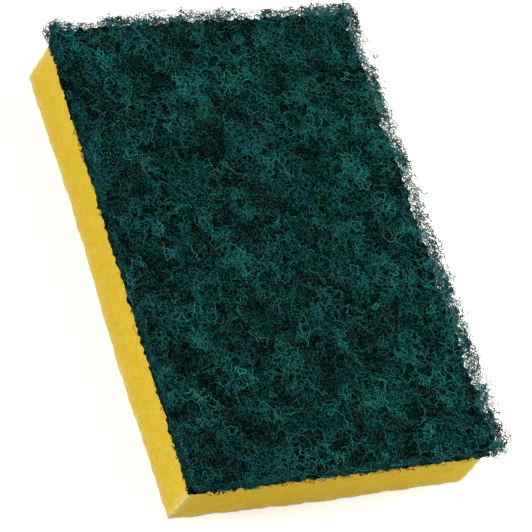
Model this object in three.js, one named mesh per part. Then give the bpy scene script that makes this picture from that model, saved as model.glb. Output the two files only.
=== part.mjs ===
// A hand scouring pad: a block of soft yellow sponge with a layer of green nylon fibre glued on top.
// Millimetres. X runs across the width, Y along the length and Z up. The origin is in the middle of
// the underside, on which the sponge rests.

import * as THREE from 'three';

// Both layers are cut from one glued sheet, so at the glue they share these sizes.
const LENGTH = 150;
const WIDTH = 98;
const CUT_WANDER = 0.3; // how far the cut edges stray from straight
const WANDER_PITCH = 94; // from one stray of the cut to the next

// Sponge block
const SPONGE_HEIGHT = 18.8;
const SPONGE_SETBACK = 0.3; // sponge behind the edge of the fibre, on the three sides that line up
const SPONGE_OVERHANG_RIGHT = 1; // sponge past that edge on the +X side
const SPONGE_CORNER = 1; // radius of the upright corners
const SPONGE_FOOT_EDGE = 0.6; // radius of the worn bottom edge

// Glue between the layers
const GLUE_LINE = 0.3;

// Scouring layer
const FIBRE_THICKNESS = 8.4;
const FIBRE_SPREAD = 1.2; // how far the loose fibre above the glue stands out past the cut
const SPREAD_HEIGHT = 3; // from the glue up to where it stands out that far
const FIBRE_CORNER = 3.2;
const FIBRE_TOP_EDGE = 2.8; // radius of the worn top edge
const FIBRE_RIPPLE = 0.6; // height of the clumps in the top over its mean level
const RIPPLE_PITCH = 30; // from one clump to the next
const RIPPLE_PHASE = 0.9; // radians, of the clumps across the width

// How finely the curved surfaces are divided
const CORNER_STEPS = 5;
const WIDTH_STEPS = 16;
const LENGTH_STEPS = 24;
const EDGE_STEPS = 4;
const SPREAD_STEPS = 3;
const TOP_RINGS = 8;

// The stray of the cut at a place on the outline, outwards where it is positive.
function wander(x, y) {
  return CUT_WANDER * Math.sin((2 * Math.PI * (x + y)) / WANDER_PITCH);
}

// The height of the fibre's top over its mean level, in clumps and hollows.
function ripple(x, y) {
  const across = Math.sin((2 * Math.PI * x) / RIPPLE_PITCH + RIPPLE_PHASE);
  const along = Math.cos((2 * Math.PI * (y + x / 2)) / RIPPLE_PITCH);
  return FIBRE_RIPPLE * across * along;
}

// One level of a slab: points anticlockwise round a rectangle with rounded corners.
function ring({ left, right, halfLength, corner, z }) {
  const sides = [
    { x: right, y: halfLength, steps: WIDTH_STEPS },
    { x: left, y: halfLength, steps: LENGTH_STEPS },
    { x: left, y: -halfLength, steps: WIDTH_STEPS },
    { x: right, y: -halfLength, steps: LENGTH_STEPS },
  ];
  const points = [];
  sides.forEach(({ x, y, steps }, quarter) => {
    const centre = new THREE.Vector2(x - Math.sign(x) * corner, y - Math.sign(y) * corner);
    for (let step = 0; step <= CORNER_STEPS; step++) {
      const angle = ((quarter + step / CORNER_STEPS) * Math.PI) / 2;
      const out = new THREE.Vector2(Math.cos(angle), Math.sin(angle));
      points.push({ at: centre.clone().addScaledVector(out, corner), out });
    }
    const { at: start, out } = points.at(-1);
    const next = sides[(quarter + 1) % sides.length];
    const along = new THREE.Vector2(-out.y, out.x);
    const run = Math.abs(along.dot(new THREE.Vector2(next.x - x, next.y - y))) - 2 * corner;
    for (let step = 1; step < steps; step++) {
      points.push({ at: start.clone().addScaledVector(along, (run * step) / steps), out });
    }
  });
  return points.map(({ at, out }) => {
    const place = at.clone().addScaledVector(out, wander(at.x, at.y));
    return new THREE.Vector3(place.x, place.y, z);
  });
}

// Joins rings, lowest first, into one closed skin, with a fan of triangles over each end.
function skin(rings) {
  const count = rings[0].length;
  const points = rings.flat();
  const index = [];
  for (let level = 0; level + 1 < rings.length; level++) {
    for (let i = 0; i < count; i++) {
      const here = level * count + i;
      const beside = level * count + ((i + 1) % count);
      index.push(here, beside, beside + count, here, beside + count, here + count);
    }
  }
  const last = (rings.length - 1) * count;
  const lowMiddle = points.push(middle(rings[0])) - 1;
  const highMiddle = points.push(middle(rings.at(-1))) - 1;
  for (let i = 0; i < count; i++) {
    const beside = (i + 1) % count;
    index.push(beside, i, lowMiddle);
    index.push(last + i, last + beside, highMiddle);
  }
  const geometry = new THREE.BufferGeometry().setFromPoints(points);
  geometry.setIndex(index);
  geometry.computeVertexNormals();
  return geometry;
}

function middle(points) {
  const sum = points.reduce((total, point) => total.add(point), new THREE.Vector3());
  return sum.divideScalar(points.length);
}

// The insets and heights of a rounded edge, from the flat face out to the wall.
function roundedEdge(radius) {
  return Array.from({ length: EDGE_STEPS + 1 }, (_, step) => {
    const angle = (step / EDGE_STEPS) * (Math.PI / 2);
    return { inset: radius * (1 - Math.sin(angle)), drop: radius * (1 - Math.cos(angle)) };
  });
}

// The sponge: upright cut walls from a flat underside with a worn edge to a flat glued face.
function spongeGeometry() {
  const level = (inset, z) => ring({
    left: -WIDTH / 2 + SPONGE_SETBACK + inset,
    right: WIDTH / 2 + SPONGE_OVERHANG_RIGHT - inset,
    halfLength: LENGTH / 2 - SPONGE_SETBACK - inset,
    corner: SPONGE_CORNER,
    z,
  });
  const foot = roundedEdge(SPONGE_FOOT_EDGE).map(({ inset, drop }) => level(inset, drop));
  return skin([...foot, level(0, SPONGE_HEIGHT)]);
}

// The fibre: a slab that spreads above the glue, with a worn, rounded top edge and a clumpy top.
function fibreGeometry() {
  const bottom = SPONGE_HEIGHT + GLUE_LINE;
  const top = bottom + FIBRE_THICKNESS;
  const level = (inset, z) => ring({
    left: -WIDTH / 2 + inset,
    right: WIDTH / 2 - inset,
    halfLength: LENGTH / 2 - inset,
    corner: FIBRE_CORNER,
    z,
  });
  const foot = Array.from({ length: SPREAD_STEPS + 1 }, (_, step) => {
    const angle = (step / SPREAD_STEPS) * (Math.PI / 2);
    return level(-FIBRE_SPREAD * Math.sin(angle), bottom + SPREAD_HEIGHT * (1 - Math.cos(angle)));
  });
  const head = roundedEdge(FIBRE_TOP_EDGE)
    .map(({ inset, drop }) => level(inset - FIBRE_SPREAD, top - drop))
    .reverse();
  const rim = head.at(-1);
  const face = Array.from({ length: TOP_RINGS }, (_, i) => {
    const share = 1 - (i + 1) / (TOP_RINGS + 1);
    return rim.map((point) => {
      const x = point.x * share;
      const y = point.y * share;
      return new THREE.Vector3(x, y, top + ripple(x, y));
    });
  });
  return skin([...foot, ...head, ...face]);
}

const pad = new THREE.Group();

const sponge = new THREE.Mesh(
  spongeGeometry(),
  new THREE.MeshStandardMaterial({ color: 0xd9bb45, roughness: 0.95, metalness: 0 }),
);
sponge.name = 'sponge_block';
pad.add(sponge);

const fibre = new THREE.Mesh(
  fibreGeometry(),
  new THREE.MeshStandardMaterial({ color: 0x12423f, roughness: 0.7, metalness: 0 }),
);
fibre.name = 'scouring_layer';
pad.add(fibre);

export default pad;
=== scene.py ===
"""A hand scouring pad: a layer of green nylon fibre glued on a block of yellow sponge.

The frame holds the two solids. Here the sponge gets its soft cut walls, and the fibre layer gets a dense
heart, dark with painted shade, with a web of loose curly strands round it. Lengths are metres, or what a
name's end says.
"""

import math

import bpy
import numpy as np
from mathutils import Matrix, Vector


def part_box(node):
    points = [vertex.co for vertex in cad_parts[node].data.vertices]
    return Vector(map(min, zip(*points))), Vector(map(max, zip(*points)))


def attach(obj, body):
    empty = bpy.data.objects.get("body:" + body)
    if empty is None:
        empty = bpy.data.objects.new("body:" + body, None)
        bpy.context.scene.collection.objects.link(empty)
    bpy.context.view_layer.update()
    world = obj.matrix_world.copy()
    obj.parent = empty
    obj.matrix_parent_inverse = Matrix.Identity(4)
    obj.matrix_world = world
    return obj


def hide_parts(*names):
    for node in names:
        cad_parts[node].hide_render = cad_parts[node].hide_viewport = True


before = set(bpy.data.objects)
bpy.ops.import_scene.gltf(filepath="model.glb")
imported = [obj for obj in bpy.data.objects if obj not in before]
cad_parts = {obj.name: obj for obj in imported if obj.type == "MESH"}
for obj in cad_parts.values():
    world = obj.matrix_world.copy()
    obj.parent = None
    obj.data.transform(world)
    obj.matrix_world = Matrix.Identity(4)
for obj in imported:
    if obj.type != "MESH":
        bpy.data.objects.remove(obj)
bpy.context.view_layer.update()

bl_info = {
    "name": "Sponge-Backed Scouring Pad",
    "version": (1, 0, 0),
    "blender": (4, 5, 0),
    "location": "3D View > Sidebar > Scouring Pad",
    "description": "Builds a scouring pad of curly nylon fibre on a block of sponge",
    "category": "Add Mesh",
}

MM = 0.001
WANDER_PITCH = 94 * MM  # from one stray of the cut to the next
RIPPLE = 0.6 * MM  # height of the large clumps in the top over its mean level
RIPPLE_PITCH = 30 * MM  # from one large clump to the next
RIPPLE_PHASE = 0.9  # radians, of the large clumps across the width

# How the loose strands are laid
WEB_SEED = 100  # each piece of the web adds its number
STRAND_STEPS = 24  # straight stretches in a strand
TRIES_PER_STRAND = 60  # places tried for each strand's start
SPARE_STRANDS = 4  # strands worked out for each one that is kept
LOOP_CROWD = 0.9  # crowd number of the loops outside the -X and -Y sides, at the top
EXTRA_LOOPS = (1.5, 0.8)  # what is added to it on the +X and the +Y side
STANDS_OUT_FROM = 0.2 * MM  # a place further outside the slab than this stands out of it
SLAB_CARRIED_DOWN = 20 * MM

# How much painted shade and painted light make the strands darker or lighter
DEPTH_SHADE = 0.37  # darker, one web depth under the surface
CLUMP_LIGHT = 0.13  # lighter, in a clump
GLUE_SHADE = 0.35  # darker, at the glue line
OUTSIDE_SHADE = 0.45  # darker, 1.2 mm outside the slab
RIGHT_LIGHT = 0.09  # lighter, towards the +X side

# The camera, fitted to the edges of the object in a picture of this width
PICTURE_WIDTH_PX = 532
CAMERA_FOCAL_PX = 3500
CAMERA_PLACE = (-0.4804, -0.4099, 0.8443)
CAMERA_TARGET = (-0.00246, -0.0064, 0.02)
CAMERA_ROLL_DEGREES = 37.78
SENSOR_WIDTH_MM = 36

# The lamps and the floor
KEY_PLACE, KEY_TARGET, KEY_SIZE = (-0.55, -0.05, 0.6), (0, 0, 0.02), 0.5
FILL_PLACE, FILL_TARGET, FILL_SIZE = (0.29, 0, 0.26), (0.03, 0.01, 0.02), 0.35
FLOOR_HALF = 3.0
FLOOR_GLOW = 0.35  # light that only the camera sees

# The boxes of the two solids
SPONGE_LOW, SPONGE_HIGH = (np.array(corner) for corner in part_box("sponge_block"))
FIBRE_LOW, FIBRE_HIGH = (np.array(corner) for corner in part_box("scouring_layer"))


# Settings that a user would change

def length(name, description, default_mm):
    """A length property with its default in millimetres."""
    return bpy.props.FloatProperty(
        name=name, description=description, default=default_mm * MM, unit="LENGTH", precision=5
    )


def colour(name, description, default):
    """A colour property, in the linear values that the shaders read."""
    return bpy.props.FloatVectorProperty(
        name=name, description=description, default=default, size=3, subtype="COLOR", min=0, max=1
    )


def share(name, description, default):
    """A plain number between 0 and 1."""
    return bpy.props.FloatProperty(
        name=name, description=description, default=default, min=0, max=1, subtype="FACTOR"
    )


class SpongeSettings(bpy.types.PropertyGroup):
    """The yellow block."""

    grid: length("Grid", "Distance between the points of the cut walls", 0.8)
    corner: length("Corner", "Radius of the upright corners", 1)
    foot_edge: length("Foot edge", "Radius of the worn bottom edge", 0.6)
    cut_wander: length("Cut wander", "How far the cut walls stray from straight", 0.3)
    cut_bumps: length("Cut bumps", "Height of the small bumps in the cut walls", 0.22)
    cell: length("Cell", "Width of the cells of the sponge", 0.45)
    body: colour("Body", "Colour of the cut sponge", (0.76, 0.525, 0.027))
    # painted shade: the darker colour in the middle of the cells and in the pinholes
    deep: colour("Deep", "Colour inside the cells", (0.56, 0.34, 0.009))
    # paler colour: painted light from the white floor at the foot edge, paler upright corners, and faint
    # clouds
    pale_tone: colour("Worn", "Colour of the worn edges", (0.88, 0.80, 0.46))


class FibreSettings(bpy.types.PropertyGroup):
    """The green layer."""

    grid: length("Grid", "Distance between the points of the dense heart", 0.9)
    corner: length("Corner", "Radius of the upright corners", 2)
    top_edge: length("Top edge", "Radius of the worn top edge", 2.2)
    spread: length("Spread", "How far the fibre above the glue stands out past the glued edge", 1.5)
    spread_height: length("Spread height", "From the glue up to where it stands out that far", 3)
    heart_depth: length("Heart depth", "Depth of the dense heart under the top", 0.9)
    heart_inset: length("Heart inset", "Distance from the fibre's side to the dense heart", 1.5)
    heart_ragged: length("Heart ragged", "Height of the bumps in the side of the dense heart", 0.5)
    heart_edge: length("Heart edge", "Radius of the top edge of the dense heart", 1.6)
    strand_thickness: length("Strand thickness", "Mean thickness of a strand", 0.155)
    strand_step: length("Strand step", "Length of one straight stretch of a strand", 0.48)
    web_depth: length("Web depth", "How deep the loose strands go", 0.7)
    fringe_depth: length("Fringe depth", "How fast the loops outside the cut edges grow rare", 1.6)
    fringe: length("Fringe", "How far the longest loops stand out of the sides", 5)
    droop: length("Droop", "How far loops hang over the glue line", 0.9)
    clump: length("Clump", "Distance from one clump of strands to the next", 5)
    # painted shade: the near-black of the dense heart stands for the shade deep in the web
    heart: colour("Heart", "Colour of the dense heart", (0.0002, 0.0008, 0.0008))
    olive: colour("Olive", "Colour where the sponge shines through the heart", (0.03, 0.024, 0.001))
    # the colour map's dark end, which the painted shade of deep strands runs towards
    dark: colour("Dark strands", "Colour of the darkest strands", (0.0003, 0.0022, 0.0022))
    green: colour("Green strands", "Colour of the lightest strands, greener", (0.029, 0.25, 0.2))
    blue: colour("Blue strands", "Colour of the lightest strands, bluer", (0.017, 0.214, 0.24))
    tint: share("Tint", "Mean lightness of the strands at the surface", 0.51)
    tint_spread: share("Tint spread", "How much the lightness differs from strand to strand", 0.28)
    # painted highlights along each strand
    glint: share("Glint", "How much the lightness comes and goes along a strand", 0.3)
    strands: bpy.props.IntProperty(
        name="Strands", description="Loose strands in each piece of the web", default=1225, min=1
    )
    pieces: bpy.props.IntProperty(
        name="Pieces", description="Pieces that the web is made in", default=5, min=1, max=5
    )


class StageSettings(bpy.types.PropertyGroup):
    """The floor, the lamps and the camera."""

    floor: colour("Floor", "Colour of the floor", (0.9, 0.9, 0.9))
    key: bpy.props.FloatProperty(name="Key", description="Power of the main lamp in watts", default=4.2)
    fill: bpy.props.FloatProperty(name="Fill", description="Power of the fill lamp in watts", default=1.9)
    sky: share("Sky", "Strength of the light from all round", 0.32)


# Shapes worked out as whole arrays

def waves(points, pitch, seed, count=24):
    """Smooth noise with a spread of about 1: the sum of sine waves with random headings and phases and
    wavelengths near pitch."""
    rng = np.random.default_rng(seed)
    heading = rng.normal(size=(count, points.shape[-1]))
    heading /= np.linalg.norm(heading, axis=1, keepdims=True)
    number = 2 * np.pi / (pitch * rng.uniform(0.7, 1.5, count))
    phase = rng.uniform(0, 2 * np.pi, count)
    total = np.zeros(points.shape[:-1])
    for k in range(count):
        total += np.sin(points @ (heading[k] * number[k]) + phase[k])
    return total * math.sqrt(2 / count)


def outline(low, high, corner, spacing):
    """Points and outward directions round a rectangle with rounded corners, anticlockwise and evenly
    spaced: four quarter circles joined by straight stretches, read off by length."""
    turn = np.linspace(0, np.pi / 2, 17)
    angles = (np.arange(4)[:, None] * np.pi / 2 + turn).ravel()
    out = np.column_stack([np.cos(angles), np.sin(angles)])
    inner_low, inner_high = low + corner, high - corner
    centres = np.array([
        [inner_high[0], inner_high[1]],
        [inner_low[0], inner_high[1]],
        [inner_low[0], inner_low[1]],
        [inner_high[0], inner_low[1]],
    ])
    points = np.repeat(centres, len(turn), axis=0) + corner * out
    closed_points = np.vstack([points, points[:1]])
    closed_out = np.vstack([out, out[:1]])
    along = np.concatenate([[0], np.cumsum(np.linalg.norm(np.diff(closed_points, axis=0), axis=1))])
    count = int(round(along[-1] / spacing))
    at = np.arange(count) * along[-1] / count
    ring = np.column_stack([np.interp(at, along, closed_points[:, k]) for k in range(2)])
    away = np.column_stack([np.interp(at, along, closed_out[:, k]) for k in range(2)])
    return ring, away / np.linalg.norm(away, axis=1, keepdims=True)


def carried_round(ring, away, inset, height):
    """A profile carried round an outline: the point at place i of the outline and j of the profile is
    the outline's point moved inwards by inset[j], at height[j]."""
    flat = ring[None] - away[None] * inset[:, None, None]
    tall = np.broadcast_to(height[:, None, None], flat.shape[:2] + (1,))
    return np.concatenate([flat, tall], axis=2)


def drawn_in(ring, shares, height):
    """Smaller and smaller copies of an outline at one height, each the outline times one of shares."""
    flat = ring[None] * shares[:, None, None]
    tall = np.full(flat.shape[:2] + (1,), height)
    return np.concatenate([flat, tall], axis=2)


def quarter_round(radius, steps):
    """Insets and drops of a rounded edge, from the flat face to the wall: radius times one minus the
    sine and one minus the cosine of an angle from 0 to a right angle."""
    angle = np.linspace(0, np.pi / 2, steps + 1)
    return radius * (1 - np.sin(angle)), radius * (1 - np.cos(angle))


def skin_faces(levels, count):
    """Four-sided faces between neighbouring rings of points, the lowest ring first, facing out."""
    level, place = np.meshgrid(np.arange(levels - 1), np.arange(count), indexing="ij")
    here = level * count + place
    beside = level * count + (place + 1) % count
    return np.stack([here, beside, beside + count, here + count], axis=-1).reshape(-1, 4)


def new_piece(name, points, faces, caps=()):
    """An object from an array of points, an array of faces and a few lists of corners that close it."""
    mesh = bpy.data.meshes.new(name)
    caps = [np.asarray(cap) for cap in caps]
    corners = np.concatenate([faces.ravel()] + caps)
    sizes = np.concatenate([np.full(len(faces), faces.shape[1]), [len(cap) for cap in caps]]).astype(int)
    mesh.vertices.add(len(points))
    mesh.vertices.foreach_set("co", points.astype(np.float32).ravel())
    mesh.loops.add(len(corners))
    mesh.loops.foreach_set("vertex_index", corners.astype(np.int32))
    mesh.polygons.add(len(sizes))
    mesh.polygons.foreach_set("loop_start", np.concatenate([[0], np.cumsum(sizes)[:-1]]).astype(np.int32))
    mesh.polygons.foreach_set("use_smooth", np.ones(len(sizes), bool))
    mesh.update(calc_edges=True)
    mesh.validate()
    piece = bpy.data.objects.new(name, mesh)
    bpy.context.scene.collection.objects.link(piece)
    return piece


# The sponge block

def sponge_points(s):
    """The sponge's skin, from near the edge of its underside out to the worn foot edge, up the cut walls
    and to the edge of the glued face. The walls stray by long sine waves and small bumps."""
    ring, away = outline(SPONGE_LOW[:2], SPONGE_HIGH[:2], s.corner, s.grid)
    inset, rise = quarter_round(s.foot_edge, 3)
    steps = int(round((SPONGE_HIGH[2] - s.foot_edge) / s.grid))
    wall = np.linspace(s.foot_edge, SPONGE_HIGH[2], steps + 1)[1:]
    underside = drawn_in(ring - away * s.foot_edge, np.array([0.9, 0.96, 0.985]), 0)
    skin = carried_round(
        ring, away, np.concatenate([inset, np.zeros(steps)]), np.concatenate([rise, wall])
    )
    stray = s.cut_wander * (np.sin(2 * np.pi * (ring[:, 0] + ring[:, 1]) / WANDER_PITCH) - 1)
    bumps = s.cut_bumps * (waves(skin, 11 * MM, 3) + 0.7 * waves(skin, 3.5 * MM, 4)) / 2
    skin[..., :2] += away * (stray + bumps)[..., None]
    underside[..., :2] += away * stray[..., None]
    return np.concatenate([underside, skin])


def sponge_paleness(points, s):
    """How pale the skin is, from 0 to 1: most at the foot edge, painted light from the white floor, and at
    the upright corners.
    """
    foot = 0.85 * np.exp(-points[..., 2] / (1.6 * MM))
    half = (SPONGE_HIGH[:2] - SPONGE_LOW[:2]) / 2
    inside = half - np.abs(points[..., :2] - (SPONGE_LOW[:2] + SPONGE_HIGH[:2]) / 2)
    corner = np.exp(-np.maximum(inside.max(axis=-1) - 0.4 * MM, 0) / (1.3 * MM))
    return np.maximum(foot, 0.9 * corner)


def build_sponge(s):
    """The block of sponge, closed below and above by one flat face each."""
    points = sponge_points(s)
    levels, count = points.shape[:2]
    low_cap = np.arange(count)[::-1]
    high_cap = (levels - 1) * count + np.arange(count)
    piece = new_piece("foam_block", points.reshape(-1, 3), skin_faces(levels, count), [low_cap, high_cap])
    # paler at the foot edge, painted light from the white floor, and at the upright corners
    paleness = piece.data.attributes.new("paleness", "FLOAT", "POINT")
    paleness.data.foreach_set("value", sponge_paleness(points, s).astype(np.float32).ravel())
    piece.data.materials.append(sponge_material(s))
    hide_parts("sponge_block")
    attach(piece, "root")


# The scouring layer

def build_heart(s):
    """The dense heart of the fibre layer: a slab with a leaning wall, a rounded top edge and a lumpy
    skin, set in from the cut edges and the top so that the loose strands stand round it."""
    ring, away = outline(FIBRE_LOW[:2], FIBRE_HIGH[:2], s.corner, s.grid)
    bottom, top = FIBRE_LOW[2], FIBRE_HIGH[2] - RIPPLE - s.heart_depth
    inset, drop = quarter_round(s.heart_edge, 4)
    rise = np.linspace(0, 1, 8)[:-1]
    wall = bottom + rise * (top - s.heart_edge - bottom)
    lean = s.heart_inset - 0.3 * MM * (1 - rise)
    skin = carried_round(
        ring, away, np.concatenate([lean, s.heart_inset + inset[::-1]]),
        np.concatenate([wall, top - drop[::-1]]),
    )
    face = drawn_in(ring - away * (s.heart_inset + s.heart_edge), np.linspace(1, 0, 32)[1:-1], top)
    raised = np.clip((skin[..., 2] - bottom) / s.spread_height, 0, 1)
    ragged = s.heart_ragged * (0.6 + 0.4 * raised) * waves(skin, 2.2 * MM, 12)
    skin[..., :2] += away * ragged[..., None]
    points = np.concatenate([skin, face])
    raised = np.clip((points[..., 2] - bottom) / s.spread_height, 0, 1)
    points[..., 2] += 0.3 * MM * raised * waves(points, s.clump, 11)
    points = lifted(points)
    levels, count = points.shape[:2]
    low_cap = np.arange(count)[::-1]
    high_cap = (levels - 1) * count + np.arange(count)
    piece = new_piece("fibre_heart", points.reshape(-1, 3), skin_faces(levels, count), [low_cap, high_cap])
    piece.data.materials.append(heart_material(s))
    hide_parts("scouring_layer")
    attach(piece, "root")


def outside(points, low, high, radius):
    """How far points lie outside a box with edges of that radius, negative inside, and the way out, away
    from the smaller box that the radius leaves. It is zero inside that one."""
    centre, half = (low + high) / 2, (high - low) / 2
    beyond = np.abs(points - centre) - (half - radius)
    over = np.maximum(beyond, 0)
    reach = np.linalg.norm(over, axis=-1)
    distance = reach + np.minimum(beyond.max(axis=-1), 0) - radius
    return distance, np.sign(points - centre) * over / np.maximum(reach, 1e-9)[..., None]


def ripple(points):
    """The height of the large clumps: a sine across times a cosine along the pad, as on the solid."""
    x, y = points[..., 0], points[..., 1]
    number = 2 * np.pi / RIPPLE_PITCH
    return RIPPLE * np.sin(number * x + RIPPLE_PHASE) * np.cos(number * (y + x / 2))


def lifted(points):
    """Points moved up by the clumps, from not at all at the glue to in full at the top."""
    share = np.clip((points[..., 2] - FIBRE_LOW[2]) / (FIBRE_HIGH[2] - RIPPLE - FIBRE_LOW[2]), 0, 1)
    points[..., 2] += share * ripple(points)
    return points


def slab_ends():
    """The lowest and highest corner of the fibre layer, carried on downwards so that only its top and
    its cut edges count as its surface."""
    low = FIBRE_LOW.copy()
    low[2] -= SLAB_CARRIED_DOWN
    high = FIBRE_HIGH.copy()
    high[2] -= RIPPLE
    return low, high


def clumps(points, s):
    """The lie of the web, from about -1 in a hollow to 1 in a clump."""
    return np.tanh(0.9 * waves(points, s.clump, 21) + 0.5 * waves(points, 3.2 * s.clump, 22))


def strand_starts(rng, s, count):
    """Places where strands start. Random places are kept by a crowd number, which falls off
    exponentially with the distance from the surface and is higher in the clumps, at the glue and high
    on the sides. It is zero beyond a reach that grows by half of the height over the glue."""
    low, high = slab_ends()
    reach = 0.6 * s.fringe * np.array([1, 1, 0])
    tries = rng.uniform(FIBRE_LOW - reach, high + reach, (TRIES_PER_STRAND * count, 3))
    distance, direction = outside(tries, low, high, s.top_edge)
    crowd = np.exp(-np.where(distance > 0, distance / s.fringe_depth, -distance / s.web_depth))
    crowd *= 0.55 + 0.45 * clumps(tries, s)
    height = tries[:, 2] - FIBRE_LOW[2]
    rise = height / (high[2] - FIBRE_LOW[2])
    sideways = np.linalg.norm(direction[:, :2], axis=1)
    at_glue = 0.9 * np.exp(-height / (0.8 * MM))
    loops = rise * sideways * (LOOP_CROWD + np.maximum(direction[:, :2], 0) @ np.array(EXTRA_LOOPS))
    crowd *= np.where(distance > STANDS_OUT_FROM, loops, 0.45 + sideways * (0.2 * rise - 0.27 + at_glue))
    crowd *= distance < 0.5 * height - s.spread * sideways + 0.4 * MM
    kept = tries[rng.uniform(0, 1, len(tries)) < crowd]
    return kept[:count]


def folded(distance, room):
    """Distances folded back where they would pass room: room less a rounded-off distance to room."""
    rounding = 0.12 * MM
    return room - np.sqrt((distance - room) ** 2 + rounding ** 2)


def strand_paths(rng, s, count, steps):
    """Curly strands, as count by steps + 1 points. A strand's heading drifts at a steady rate with two
    sine waves on top, its dip is a sine wave, and the path adds up its steps. Where a path would leave
    the slab it folds back, after a loop as long as its own allowance, which is less near the glue. It
    also folds back from the heart. Strands that go deep into it are left out."""
    start = strand_starts(rng, s, SPARE_STRANDS * count)
    tried = len(start)
    along = np.arange(steps) * s.strand_step

    def each(low, high):
        return rng.uniform(low, high, (tried, 1))

    def wave(low, high):
        return np.sin(2 * np.pi * along / each(low, high) + each(0, 2 * np.pi))

    heading = each(0, 2 * np.pi) + each(-0.6, 0.6) / MM * along
    heading = heading + each(0.5, 1.4) * wave(2.8 * MM, 5 * MM)
    heading = heading + each(0.35, 1.0) * wave(1.4 * MM, 2.5 * MM)
    dip = each(0.15, 0.6) * wave(2.2 * MM, 5 * MM)
    step = s.strand_step * np.stack(
        [np.cos(dip) * np.cos(heading), np.cos(dip) * np.sin(heading), np.sin(dip)], axis=-1
    )
    path = start[:, None] + np.concatenate([np.zeros((tried, 1, 3)), np.cumsum(step, axis=1)], axis=1)
    low, high = slab_ends()
    distance, direction = outside(path, low, high, s.top_edge)
    sideways = np.linalg.norm(direction[..., :2], axis=-1)
    height = np.maximum(path[..., 2] - FIBRE_LOW[2], 0)
    bulge = s.spread * np.sin(np.clip(height / s.spread_height, 0, 1) * np.pi / 2)
    longer = 1 + 0.5 * np.maximum(direction[..., 0], 0)
    near_glue = each(0.2, 0.9) * MM + each(0.2, 0.6) * height * longer
    overhang = np.minimum(bulge + each(0, 1) * s.fringe * longer, near_glue)
    room = (overhang - s.spread) * sideways + 0.1 * MM
    deepest = each(0.3, 1.5) * MM * (1 - sideways) + (each(1.2, 2.1) * MM + s.spread - bulge) * sideways
    kept = np.minimum(-folded(-folded(distance, room), deepest), room)
    path += direction * (kept - distance)[..., None]
    beside = outside(path[..., :2], SPONGE_LOW[:2], SPONGE_HIGH[:2], s.corner)[0]
    floor = FIBRE_LOW[2] + 0.2 * MM - s.droop * each(0, 1) * np.clip(beside / (0.3 * MM), 0, 1)
    path[..., 2] = np.maximum(path[..., 2], floor)
    shallow = distance.min(axis=1) > -0.95 * s.top_edge
    return lifted(path[shallow][:count])


def tubes(paths, thickness, twist):
    """Three-sided tubes along the paths: at each point the corners lie a third of a turn apart round
    the path's direction, from a start turned by twist."""
    direction = np.gradient(paths, axis=1)
    direction /= np.linalg.norm(direction, axis=-1, keepdims=True) + 1e-12
    side = np.cross(direction, np.array([0.0, 0, 1]))
    side /= np.linalg.norm(side, axis=-1, keepdims=True) + 1e-12
    lift = np.cross(side, direction)
    angle = np.arange(3) * 2 * np.pi / 3 + twist[:, None]
    across = np.cos(angle)[:, None, :, None] * side[:, :, None]
    across = across + np.sin(angle)[:, None, :, None] * lift[:, :, None]
    return paths[:, :, None] + across * (thickness / 2)[:, None, None, None]


def tube_faces(count, places):
    """Four-sided faces along count tubes of that many places each, and the triangles at their ends."""
    base = np.arange(count)[:, None, None] * places * 3
    here = base + np.arange(places - 1)[None, :, None] * 3
    corner = np.arange(3)
    turned = (corner + 1) % 3
    walls = np.stack([here + turned, here + corner, here + corner + 3, here + turned + 3], axis=-1)
    start = base[:, 0] + np.array([0, 1, 2])
    end = base[:, 0] + (places - 1) * 3 + np.array([2, 1, 0])
    return walls.reshape(-1, 4), np.concatenate([start, end])


def build_web(s):
    """The loose strands, in several pieces. Each strand's place on the colour map says how light and
    how blue it is. Strands that stand out of the slab are thicker, in the fringe and on the clumps."""
    material = strand_material(s)
    for number in range(1, s.pieces + 1):
        rng = np.random.default_rng(WEB_SEED + number)
        paths = strand_paths(rng, s, s.strands, STRAND_STEPS)
        count = len(paths)
        thickness = s.strand_thickness * rng.uniform(0.6, 1.4, count)
        stands_out = outside(paths.mean(axis=1), *slab_ends(), s.top_edge)[0] > STANDS_OUT_FROM
        thickness *= 1 + 0.3 * stands_out
        points = tubes(paths, thickness, rng.uniform(0, 2 * np.pi, count))
        walls, ends = tube_faces(count, STRAND_STEPS + 1)
        piece = new_piece(f"fibre_web_{number}", points.reshape(-1, 3), walls, ends)
        lay_colours(piece.data, points, rng, s)
        piece.data.materials.append(material)
        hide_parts("scouring_layer")
        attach(piece, "root")


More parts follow.
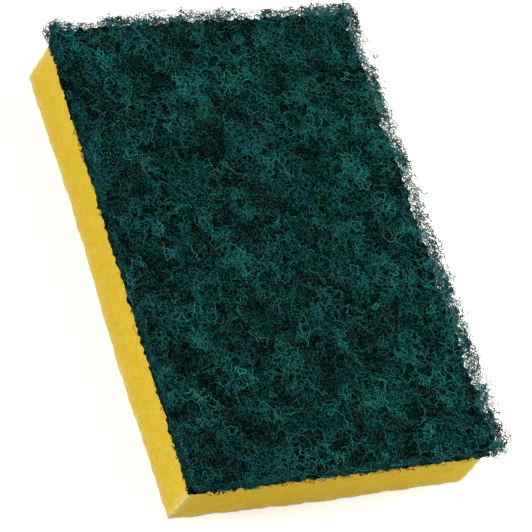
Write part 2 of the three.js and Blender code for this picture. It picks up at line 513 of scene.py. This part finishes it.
def lay_colours(mesh, points, rng, s):
    """The colour map: across it from dark to light by painted shade with depth, at the glue line and
    outside the slab, by painted light in the clumps and towards the +X side, and by strand, with painted
    highlights along each strand as a sine wave, and up it from green to blue by place and strand."""
    count = len(points)
    middle = points.mean(axis=2)
    distance = outside(middle, *slab_ends(), s.top_edge)[0]
    depth = np.clip(-distance / s.web_depth, 0, 2)
    stands_out = np.clip(distance / (1.2 * MM), 0, 1)
    low_down = np.clip(1 - (middle[..., 2] - FIBRE_LOW[2]) / (3.5 * MM), 0, 1)
    at_right = np.clip((middle[..., 0] - 15 * MM) / (30 * MM), 0, 1)
    # painted shade by depth, at the glue line and outside the slab; painted light in the clumps and
    # towards +X
    tint = s.tint - DEPTH_SHADE * depth + CLUMP_LIGHT * clumps(middle, s) - GLUE_SHADE * low_down
    tint = tint - OUTSIDE_SHADE * stands_out + RIGHT_LIGHT * at_right
    tint = tint + rng.normal(0, s.tint_spread, (count, 1))
    # painted highlights: lighter and darker in turn along each strand
    along = np.arange(middle.shape[1]) * s.strand_step
    pitch = rng.uniform(1.0, 2.2, (count, 1)) * MM
    phase = rng.uniform(0, 2 * np.pi, (count, 1))
    tint = tint + s.glint * np.sin(2 * np.pi * along / pitch + phase)
    hue = 0.5 + 0.22 * waves(middle, 2 * s.clump, 31) + rng.normal(0, 0.15, (count, 1))
    chart = np.stack([np.clip(tint, 0.02, 0.98), np.clip(hue, 0.02, 0.98)], axis=-1)
    chart = np.repeat(chart[:, :, None], 3, axis=2).reshape(-1, 2)
    corner = np.empty(len(mesh.loops), np.int32)
    mesh.loops.foreach_get("vertex_index", corner)
    jitter = 0.004 * np.array([[-1, -1], [1, -1], [0, 1]])[corner % 3]
    places = (chart[corner] + jitter).astype(np.float32)
    mesh.uv_layers.new(name="OFBake").data.foreach_set("uv", places.ravel())


# Materials

class Nodes:
    """A short way to add and join shader nodes."""

    def __init__(self, tree):
        self.tree = tree

    def add(self, kind, inputs=None, **settings):
        node = self.tree.nodes.new(kind)
        for name, value in settings.items():
            setattr(node, name, value)
        for name, value in (inputs or {}).items():
            if isinstance(value, bpy.types.NodeSocket):
                self.tree.links.new(value, node.inputs[name])
            else:
                node.inputs[name].default_value = value
        return node

    def mix(self, factor, first, second):
        """The colour that lies between two others, by a factor."""
        return self.add("ShaderNodeMix", {0: factor, 6: first, 7: second}, data_type="RGBA").outputs[2]

    def maths(self, operation, first, second=0.0):
        return self.add("ShaderNodeMath", {0: first, 1: second}, operation=operation).outputs[0]

    def ramp(self, value, low, high):
        """0 where the value is at low, 1 where it is at high, smooth between."""
        return self.add(
            "ShaderNodeMapRange", {"Value": value, "From Min": low, "From Max": high},
            interpolation_type="SMOOTHSTEP",
        ).outputs["Result"]


def node_group(name, inputs, outputs):
    """A new node group with those float or vector inputs and float outputs."""
    tree = bpy.data.node_groups.new(name, "ShaderNodeTree")
    for socket, kind in inputs.items():
        tree.interface.new_socket(socket, in_out="INPUT", socket_type=kind)
    for socket in outputs:
        tree.interface.new_socket(socket, in_out="OUTPUT", socket_type="NodeSocketFloat")
    nodes = Nodes(tree)
    return tree, nodes, nodes.add("NodeGroupInput").outputs, nodes.add("NodeGroupOutput").inputs


def patches_group():
    """Soft patches: noise with about one patch to each pitch, and a share of them picked by level."""
    name = "soft_patches"
    if name in bpy.data.node_groups:
        return bpy.data.node_groups[name]
    kinds = {"Vector": "NodeSocketVector", "Pitch": "NodeSocketFloat", "Level": "NodeSocketFloat"}
    tree, nodes, given, made = node_group(name, kinds, ["Mask"])
    scale = nodes.maths("DIVIDE", 1.0, given["Pitch"])
    noise = nodes.add("ShaderNodeTexNoise", {"Vector": given["Vector"], "Scale": scale, "Detail": 3})
    above = nodes.maths("SUBTRACT", noise.outputs["Fac"], given["Level"])
    tree.links.new(nodes.ramp(above, -0.07, 0.07), made["Mask"])
    return tree


def threads_group():
    """Curly lines: a line runs where smooth noise passes through its middle value."""
    name = "curly_threads"
    if name in bpy.data.node_groups:
        return bpy.data.node_groups[name]
    kinds = {"Vector": "NodeSocketVector", "Pitch": "NodeSocketFloat", "Thickness": "NodeSocketFloat"}
    tree, nodes, given, made = node_group(name, kinds, ["Mask"])
    scale = nodes.maths("DIVIDE", 1.0, given["Pitch"])
    noise = nodes.add("ShaderNodeTexNoise", {"Vector": given["Vector"], "Scale": scale, "Detail": 1})
    away = nodes.maths("ABSOLUTE", nodes.maths("SUBTRACT", noise.outputs["Fac"], 0.5))
    thin = nodes.maths("DIVIDE", away, given["Thickness"])
    tree.links.new(nodes.ramp(thin, 1, 0.4), made["Mask"])
    return tree


def new_material(name):
    """A material with one Principled shader, and the helper for its nodes."""
    material = bpy.data.materials.new(name)
    material.use_nodes = True
    nodes = Nodes(material.node_tree)
    return material, nodes, material.node_tree.nodes["Principled BSDF"]


def grouped(nodes, tree, **inputs):
    """The first output of a node group, with those inputs."""
    return nodes.add("ShaderNodeGroup", inputs, node_tree=tree).outputs[0]


def colour_of(rgb):
    return (*rgb, 1)


def sponge_material(s):
    """Cut sponge: fine cells with painted shade in them, faint clouds, a few pinholes of painted shade,
    and pale
    edges: painted light from the white floor at the foot edge, and paler upright corners.
    """
    material, nodes, shader = new_material("cut_sponge")
    place = nodes.add("ShaderNodeTexCoord").outputs["Object"]
    cells = nodes.add("ShaderNodeTexVoronoi", {"Vector": place, "Scale": 1 / s.cell}, feature="F1")
    wall = nodes.ramp(cells.outputs["Distance"], 0.1, 0.5)
    clouds = grouped(nodes, patches_group(), Vector=place, Pitch=3 * MM, Level=0.5)
    pinholes = grouped(nodes, patches_group(), Vector=place, Pitch=1.1 * MM, Level=0.73)
    ragged = grouped(nodes, patches_group(), Vector=place, Pitch=1.3 * MM, Level=0.5)
    paleness = nodes.add("ShaderNodeAttribute", attribute_name="paleness").outputs["Fac"]
    # painted shade in the middle of each cell
    deep = nodes.maths("MULTIPLY", nodes.maths("SUBTRACT", 1.0, wall), 0.95)
    base = nodes.mix(nodes.maths("MULTIPLY", clouds, 0.05), colour_of(s.body), colour_of(s.pale_tone))
    base = nodes.mix(deep, base, colour_of(s.deep))
    # paler at the foot edge, painted light from the white floor, and at the upright corners
    pale_tone = nodes.maths("MULTIPLY", paleness, nodes.maths("ADD", nodes.maths("MULTIPLY", ragged, 0.6), 0.3))
    base = nodes.mix(pale_tone, base, colour_of(s.pale_tone))
    # painted shade in a few pinholes
    base = nodes.mix(nodes.maths("MULTIPLY", pinholes, 0.5), base, colour_of(s.deep))
    bump = nodes.add("ShaderNodeBump", {"Strength": 0.45, "Distance": 0.15 * MM, "Height": wall})
    nodes.tree.links.new(base, shader.inputs["Base Color"])
    nodes.tree.links.new(bump.outputs["Normal"], shader.inputs["Normal"])
    shader.inputs["Roughness"].default_value = 0.95
    shader.inputs["Specular IOR Level"].default_value = 0.15
    return material


def heart_material(s):
    """The dense heart: nearly black, painted shade deep in the web, with three layers of curly threads,
    dimmer with depth and lighter in the clouds as painted shade and light, and lighter patches.
    """
    material, nodes, shader = new_material("fibre_heart")
    place = nodes.add("ShaderNodeTexCoord").outputs["Object"]
    clouds = grouped(nodes, patches_group(), Vector=place, Pitch=s.clump, Level=0.5)
    # nearly black: painted shade deep in the web
    base = colour_of(s.heart)
    olive = grouped(nodes, patches_group(), Vector=place, Pitch=1.5 * MM, Level=0.68)
    base = nodes.mix(nodes.maths("MULTIPLY", olive, 0.8), base, colour_of(s.olive))
    # each layer of threads is dimmer than the one above it, painted shade with depth, and lighter in the
    # clouds, painted light
    for shift, strength in ((0.0, 0.3), (0.31, 0.6), (0.67, 1.0)):
        moved = nodes.add("ShaderNodeVectorMath", {0: place, 1: (shift, shift, shift)}, operation="ADD")
        lines = grouped(
            nodes, threads_group(), Vector=moved.outputs["Vector"], Pitch=1.1 * MM, Thickness=0.035
        )
        lit = nodes.maths("MULTIPLY", clouds, 0.45 * strength)
        shade = nodes.maths("MULTIPLY", lines, nodes.maths("ADD", lit, 0.28 * strength))
        base = nodes.mix(shade, base, nodes.mix(0.4 * strength, colour_of(s.dark), colour_of(s.green)))
    nodes.tree.links.new(base, shader.inputs["Base Color"])
    shader.inputs["Roughness"].default_value = 0.9
    shader.inputs["Specular IOR Level"].default_value = 0
    return material


def strand_material(s):
    """A strand: its colour is read from its place on the colour map, whose lightness holds painted light
    and shade.
    """
    material, nodes, shader = new_material("nylon_strand")
    chart = nodes.add("ShaderNodeUVMap", uv_map="OFBake")
    parts = nodes.add("ShaderNodeSeparateXYZ", {"Vector": chart.outputs["UV"]}).outputs
    light = nodes.mix(parts["Y"], colour_of(s.green), colour_of(s.blue))
    base = nodes.mix(parts["X"], colour_of(s.dark), light)
    nodes.tree.links.new(base, shader.inputs["Base Color"])
    shader.inputs["Roughness"].default_value = 0.5
    shader.inputs["Specular IOR Level"].default_value = 0.06
    return material


# The stage

def look_from(place, target, roll):
    """A camera's matrix: its back points from target to place, and its right side is the level one
    turned by roll towards up."""
    forward = (target - place).normalized()
    level = forward.cross(Vector((0, 0, 1))).normalized()
    rise = level.cross(forward)
    right = level * math.cos(roll) + rise * math.sin(roll)
    up = rise * math.cos(roll) - level * math.sin(roll)
    turned = Matrix((right, up, -forward)).transposed().to_4x4()
    return Matrix.Translation(place) @ turned


def add_lamp(name, place, target, size, power):
    """A square area lamp that faces the target."""
    lamp = bpy.data.lights.new(name, "AREA")
    lamp.size = size
    lamp.energy = power
    holder = bpy.data.objects.new(name, lamp)
    holder.matrix_world = look_from(Vector(place), Vector(target), 0)
    bpy.context.scene.collection.objects.link(holder)


def build_stage(s):
    """The floor, the white surround, the lamps and the camera."""
    scene = bpy.context.scene
    scene.view_settings.view_transform = "Standard"
    mesh = bpy.data.meshes.new("floor")
    corners = [(-1, -1), (1, -1), (1, 1), (-1, 1)]
    mesh.from_pydata([(FLOOR_HALF * x, FLOOR_HALF * y, 0) for x, y in corners], [], [(0, 1, 2, 3)])
    floor = bpy.data.objects.new("floor", mesh)
    scene.collection.objects.link(floor)
    floor.data.materials.append(floor_material(s))
    white_surround(s)
    add_lamp("key_lamp", KEY_PLACE, KEY_TARGET, KEY_SIZE, s.key)
    add_lamp("fill_lamp", FILL_PLACE, FILL_TARGET, FILL_SIZE, s.fill)
    camera = bpy.data.cameras.new("camera")
    camera.sensor_width = SENSOR_WIDTH_MM
    camera.lens = CAMERA_FOCAL_PX / PICTURE_WIDTH_PX * camera.sensor_width
    holder = bpy.data.objects.new("camera", camera)
    roll = math.radians(CAMERA_ROLL_DEGREES)
    holder.matrix_world = look_from(Vector(CAMERA_PLACE), Vector(CAMERA_TARGET), roll)
    scene.collection.objects.link(holder)
    scene.camera = holder


def floor_material(s):
    """A pale floor that keeps the shadow. The camera also sees a little glow, which makes it white."""
    material, nodes, shader = new_material("pale_floor")
    shader.inputs["Base Color"].default_value = colour_of(s.floor)
    shader.inputs["Roughness"].default_value = 1
    shader.inputs["Specular IOR Level"].default_value = 0
    rays = nodes.add("ShaderNodeLightPath")
    glow = nodes.maths("MULTIPLY", rays.outputs["Is Camera Ray"], FLOOR_GLOW)
    shader.inputs["Emission Color"].default_value = (1, 1, 1, 1)
    nodes.tree.links.new(glow, shader.inputs["Emission Strength"])
    return material


def white_surround(s):
    """Even light from all round, which the camera and reflections see as white."""
    world = bpy.data.worlds.new("surround")
    world.use_nodes = True
    bpy.context.scene.world = world
    nodes = Nodes(world.node_tree)
    background = world.node_tree.nodes["Background"]
    background.inputs["Color"].default_value = (1, 1, 1, 1)
    rays = nodes.add("ShaderNodeLightPath").outputs
    seen = nodes.maths("MAXIMUM", rays["Is Camera Ray"], rays["Is Glossy Ray"])
    seen = nodes.maths("MAXIMUM", seen, rays["Is Transmission Ray"])
    strength = nodes.add("ShaderNodeMapRange", {"Value": seen, "To Min": s.sky, "To Max": 1})
    world.node_tree.links.new(strength.outputs["Result"], background.inputs["Strength"])


# Operators and the panel

class PAD_OT_sponge(bpy.types.Operator):
    """Build the block of sponge"""

    bl_idname = "pad.sponge"
    bl_label = "Sponge Block"

    def execute(self, context):
        build_sponge(context.scene.pad_sponge)
        return {"FINISHED"}


class PAD_OT_heart(bpy.types.Operator):
    """Build the dense heart of the fibre layer"""

    bl_idname = "pad.heart"
    bl_label = "Fibre Heart"

    def execute(self, context):
        build_heart(context.scene.pad_fibre)
        return {"FINISHED"}


class PAD_OT_web(bpy.types.Operator):
    """Build the loose strands of the fibre layer"""

    bl_idname = "pad.web"
    bl_label = "Fibre Web"

    def execute(self, context):
        build_web(context.scene.pad_fibre)
        return {"FINISHED"}


class PAD_OT_stage(bpy.types.Operator):
    """Set up the floor, the lamps and the camera"""

    bl_idname = "pad.stage"
    bl_label = "Stage"

    def execute(self, context):
        build_stage(context.scene.pad_stage)
        return {"FINISHED"}


class PAD_PT_panel(bpy.types.Panel):
    """The pad's pieces and their settings."""

    bl_idname = "PAD_PT_panel"
    bl_label = "Scouring Pad"
    bl_space_type = "VIEW_3D"
    bl_region_type = "UI"
    bl_category = "Scouring Pad"

    def draw(self, context):
        for group, operators in PANEL_ROWS:
            box = self.layout.box()
            settings = getattr(context.scene, group)
            for name in settings.bl_rna.properties.keys():
                if name not in ("rna_type", "name"):
                    box.prop(settings, name)
            for operator in operators:
                box.operator(operator)


PANEL_ROWS = (
    ("pad_sponge", ("pad.sponge",)),
    ("pad_fibre", ("pad.heart", "pad.web")),
    ("pad_stage", ("pad.stage",)),
)
SETTINGS = {"pad_sponge": SpongeSettings, "pad_fibre": FibreSettings, "pad_stage": StageSettings}
CLASSES = (*SETTINGS.values(), PAD_OT_sponge, PAD_OT_heart, PAD_OT_web, PAD_OT_stage, PAD_PT_panel)


def register():
    for cls in CLASSES:
        bpy.utils.register_class(cls)
    for name, cls in SETTINGS.items():
        setattr(bpy.types.Scene, name, bpy.props.PointerProperty(type=cls))


def unregister():
    for name in SETTINGS:
        delattr(bpy.types.Scene, name)
    for cls in reversed(CLASSES):
        bpy.utils.unregister_class(cls)


def main():
    register()
    bpy.ops.pad.stage()
    bpy.ops.pad.sponge()
    bpy.ops.pad.heart()
    bpy.ops.pad.web()


if __name__ == "__main__":
    main()
